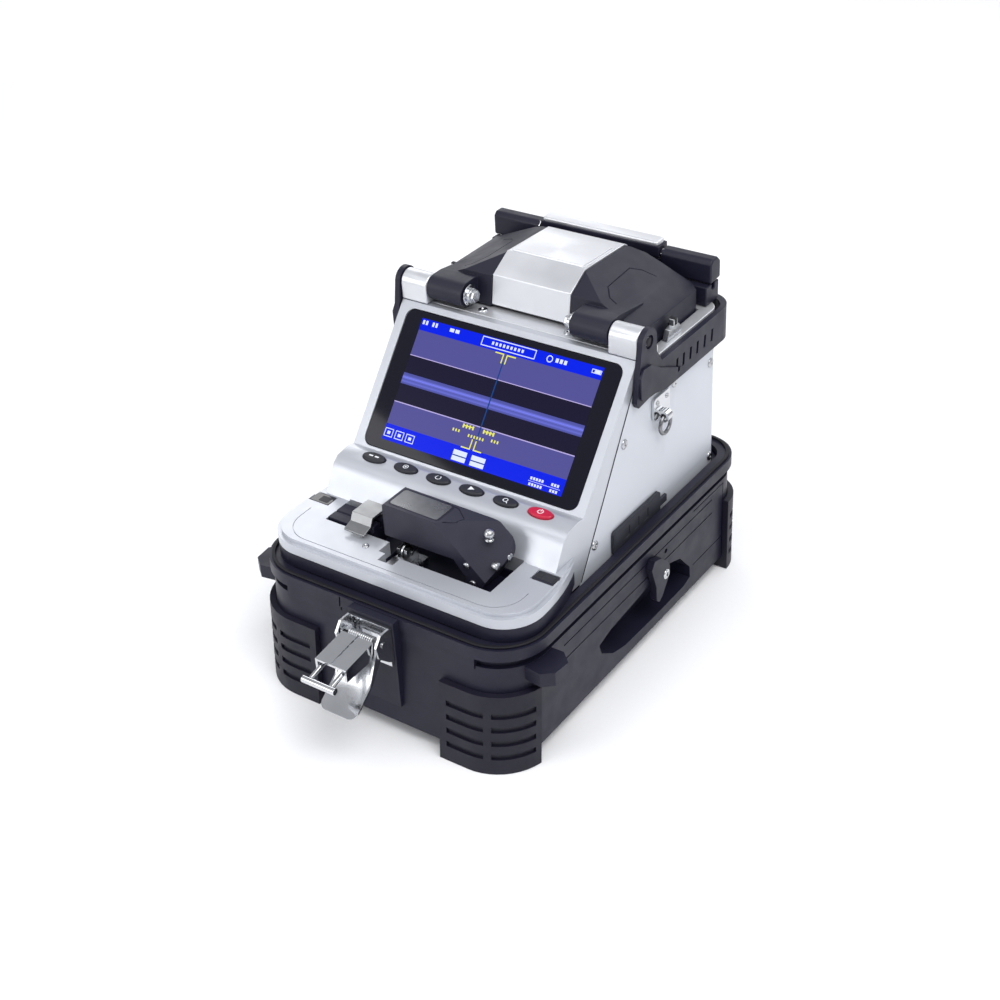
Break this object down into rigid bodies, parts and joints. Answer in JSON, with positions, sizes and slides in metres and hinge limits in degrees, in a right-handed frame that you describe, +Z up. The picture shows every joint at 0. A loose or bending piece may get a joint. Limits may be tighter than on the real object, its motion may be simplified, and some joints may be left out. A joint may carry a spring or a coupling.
{
  "type": "fiber fusion splicer",
  "caption": "Bench-top fiber fusion splicer with a tilted screen, key row, built-in cleaver, hinged wind cover, rear sleeve heater and carry handle, standing in its case base.",
  "frame": {"origin": "centre of the bounding box on the surface it stands on, under the middle of the case", "axes": "+X to the operator's right, +Y to the back, +Z up"},
  "size_m": [0.182, 0.3046, 0.1865],
  "materials": {
    "case_plastic": "satin blue-black moulded plastic, fine grain",
    "bumper_rubber": "dark moulded rubber",
    "seal_rubber": "soft black seal",
    "pearl_paint": "pearl silver satin paint",
    "panel_paint": "light silver-white satin paint",
    "brushed": "brushed and clear anodised",
    "chrome": "bright nickel-chrome plating",
    "steel": "machined steel",
    "screen": "glossy cover glass over a lit display",
    "board": "green circuit board",
    "key": "dark grey moulded keys",
    "power_key": "red key",
    "port_rubber": "grey rubber port flap",
    "battery": "black battery case"
  },
  "bodies": {
    "base": {"battery_pack": "battery", "bumper_front_left": "bumper_rubber", "bumper_front_right": "bumper_rubber", "bumper_rear_left": "bumper_rubber", "bumper_rear_right": "bumper_rubber", "camera_module": "case_plastic", "case_base": "case_plastic", "cleaver_base": "case_plastic", "electrode_front": "steel", "electrode_rear": "steel", "front_housing": "pearl_paint", "front_latch_bracket": "chrome", "heater_body": "case_plastic", "hinge_lug_left": "brushed", "hinge_lug_right": "brushed", "hinge_pin_left": "steel", "hinge_pin_right": "steel", "keypad_board": "board", "lcd_module": "steel", "lower_housing": "case_plastic", "main_board": "board", "port_cover": "port_rubber", "rear_latch_bracket": "chrome", "rear_panel": "panel_paint", "rim_seal": "seal_rubber", "screen_glass": "screen", "side_panel_left": "panel_paint", "side_panel_right": "panel_paint", "splice_block": "steel", "strap_clip_left": "chrome", "strap_clip_right": "chrome", "top_deck": "brushed"},
    "wind_cover": {"wind_cover_shell": "case_plastic", "wind_cover_plate": "brushed"},
    "handle": {"carry_handle": "case_plastic"},
    "button_1": {"button_1": "key"},
    "button_2": {"button_2": "key"},
    "button_3": {"button_3": "key"},
    "button_4": {"button_4": "key"},
    "button_5": {"button_5": "key"},
    "button_power": {"button_power": "power_key"},
    "strap_lug_left": {"strap_lug_left": "case_plastic"},
    "strap_ring_left": {"strap_ring_left": "chrome"},
    "heater_clamp_left": {"heater_clamp_left": "case_plastic"},
    "fiber_carriage_left": {"fiber_carriage_left": "steel"},
    "strap_lug_right": {"strap_lug_right": "case_plastic"},
    "strap_ring_right": {"strap_ring_right": "chrome"},
    "heater_clamp_right": {"heater_clamp_right": "case_plastic"},
    "fiber_carriage_right": {"fiber_carriage_right": "steel"},
    "heater_lid": {"heater_lid": "brushed"},
    "cleaver_arm": {"cleaver_arm": "case_plastic"},
    "cleaver_clip": {"cleaver_fiber_clip": "steel"},
    "cleaver_carriage": {"cleaver_carriage": "steel"},
    "cleaver_blade": {"cleaver_blade": "steel"},
    "front_latch_lever": {"front_latch_lever": "chrome"},
    "front_latch_arm": {"front_latch_arm": "chrome"},
    "front_latch_loop": {"front_latch_loop": "chrome"},
    "rear_latch_lever": {"rear_latch_lever": "chrome"},
    "rear_latch_arm": {"rear_latch_arm": "chrome"},
    "rear_latch_loop": {"rear_latch_loop": "chrome"}
  },
  "joints": [
    {"name": "wind_cover_hinge", "type": "hinge", "parent": "base", "child": "wind_cover", "pos_m": [0, 0.024, 0.169], "axis": [1, 0, 0], "range_deg": [0, 95]},
    {"name": "handle_hinge", "type": "hinge", "parent": "base", "child": "handle", "pos_m": [0, 0.024, 0.169], "axis": [1, 0, 0], "range_deg": [0, 90]},
    {"name": "button_1_press", "type": "slide", "parent": "base", "child": "button_1", "axis": [0, 0.06, -0.9982], "range_m": [0, 0.0012], "stiffness_N_per_m": 150},
    {"name": "button_2_press", "type": "slide", "parent": "base", "child": "button_2", "axis": [0, 0.06, -0.9982], "range_m": [0, 0.0012], "stiffness_N_per_m": 150},
    {"name": "button_3_press", "type": "slide", "parent": "base", "child": "button_3", "axis": [0, 0.06, -0.9982], "range_m": [0, 0.0012], "stiffness_N_per_m": 150},
    {"name": "button_4_press", "type": "slide", "parent": "base", "child": "button_4", "axis": [0, 0.06, -0.9982], "range_m": [0, 0.0012], "stiffness_N_per_m": 150},
    {"name": "button_5_press", "type": "slide", "parent": "base", "child": "button_5", "axis": [0, 0.06, -0.9982], "range_m": [0, 0.0012], "stiffness_N_per_m": 150},
    {"name": "button_power_press", "type": "slide", "parent": "base", "child": "button_power", "axis": [0, 0.06, -0.9982], "range_m": [0, 0.0012], "stiffness_N_per_m": 150},
    {"name": "strap_lug_left_pivot", "type": "hinge", "parent": "base", "child": "strap_lug_left", "pos_m": [-0.08, 0.0245, 0.0385], "axis": [-1, 0, 0], "range_deg": [0, 90]},
    {"name": "strap_ring_left_swing", "type": "hinge", "parent": "base", "child": "strap_ring_left", "pos_m": [-0.073, 0.039, 0.122], "axis": [0, 1, 0], "range_deg": [0, 85]},
    {"name": "heater_clamp_left_hinge", "type": "hinge", "parent": "base", "child": "heater_clamp_left", "pos_m": [-0.051, 0.1052, 0.171], "axis": [-1, 0, 0], "range_deg": [0, 85]},
    {"name": "fiber_carriage_left_feed", "type": "slide", "parent": "base", "child": "fiber_carriage_left", "axis": [1, 0, 0], "range_m": [0, 0.003]},
    {"name": "strap_lug_right_pivot", "type": "hinge", "parent": "base", "child": "strap_lug_right", "pos_m": [0.08, 0.0245, 0.0385], "axis": [-1, 0, 0], "range_deg": [0, 90]},
    {"name": "strap_ring_right_swing", "type": "hinge", "parent": "base", "child": "strap_ring_right", "pos_m": [0.073, 0.039, 0.122], "axis": [0, -1, 0], "range_deg": [0, 85]},
    {"name": "heater_clamp_right_hinge", "type": "hinge", "parent": "base", "child": "heater_clamp_right", "pos_m": [0.051, 0.1052, 0.171], "axis": [-1, 0, 0], "range_deg": [0, 85]},
    {"name": "fiber_carriage_right_feed", "type": "slide", "parent": "base", "child": "fiber_carriage_right", "axis": [-1, 0, 0], "range_m": [0, 0.003]},
    {"name": "heater_lid_hinge", "type": "hinge", "parent": "base", "child": "heater_lid", "pos_m": [0, 0.1052, 0.175], "axis": [-1, 0, 0], "range_deg": [0, 85]},
    {"name": "cleaver_arm_hinge", "type": "hinge", "parent": "base", "child": "cleaver_arm", "pos_m": [0.0348, -0.066, 0.0768], "axis": [0, 1, 0], "range_deg": [0, 18]},
    {"name": "cleaver_clip_hinge", "type": "hinge", "parent": "base", "child": "cleaver_clip", "pos_m": [-0.0317, -0.0612, 0.0896], "axis": [-1, 0, 0], "range_deg": [0, 60]},
    {"name": "cleaver_carriage_stroke", "type": "slide", "parent": "base", "child": "cleaver_carriage", "axis": [0, 1, 0], "range_m": [0, 0.0085]},
    {"name": "cleaver_blade_spin", "type": "hinge", "parent": "cleaver_carriage", "child": "cleaver_blade", "pos_m": [-0.0055, -0.073, 0.0802], "axis": [1, 0, 0], "continuous": true},
    {"name": "front_latch_lever_hinge", "type": "hinge", "parent": "base", "child": "front_latch_lever", "pos_m": [0, -0.118, 0.06], "axis": [1, 0, 0], "range_deg": [-60, 8]},
    {"name": "front_latch_arm_hinge", "type": "hinge", "parent": "front_latch_lever", "child": "front_latch_arm", "pos_m": [0, -0.1196, 0.0555], "axis": [1, 0, 0], "range_deg": [-50, 3]},
    {"name": "front_latch_loop_hinge", "type": "hinge", "parent": "front_latch_arm", "child": "front_latch_loop", "pos_m": [0, -0.1391, 0.0565], "axis": [1, 0, 0], "range_deg": [-30, 20]},
    {"name": "rear_latch_lever_hinge", "type": "hinge", "parent": "base", "child": "rear_latch_lever", "pos_m": [0, 0.118, 0.06], "axis": [-1, 0, 0], "range_deg": [-60, 8]},
    {"name": "rear_latch_arm_hinge", "type": "hinge", "parent": "rear_latch_lever", "child": "rear_latch_arm", "pos_m": [0, 0.1196, 0.0555], "axis": [-1, 0, 0], "range_deg": [-50, 3]},
    {"name": "rear_latch_loop_hinge", "type": "hinge", "parent": "rear_latch_arm", "child": "rear_latch_loop", "pos_m": [0, 0.1391, 0.0565], "axis": [-1, 0, 0], "range_deg": [-30, 20]}
  ]
}
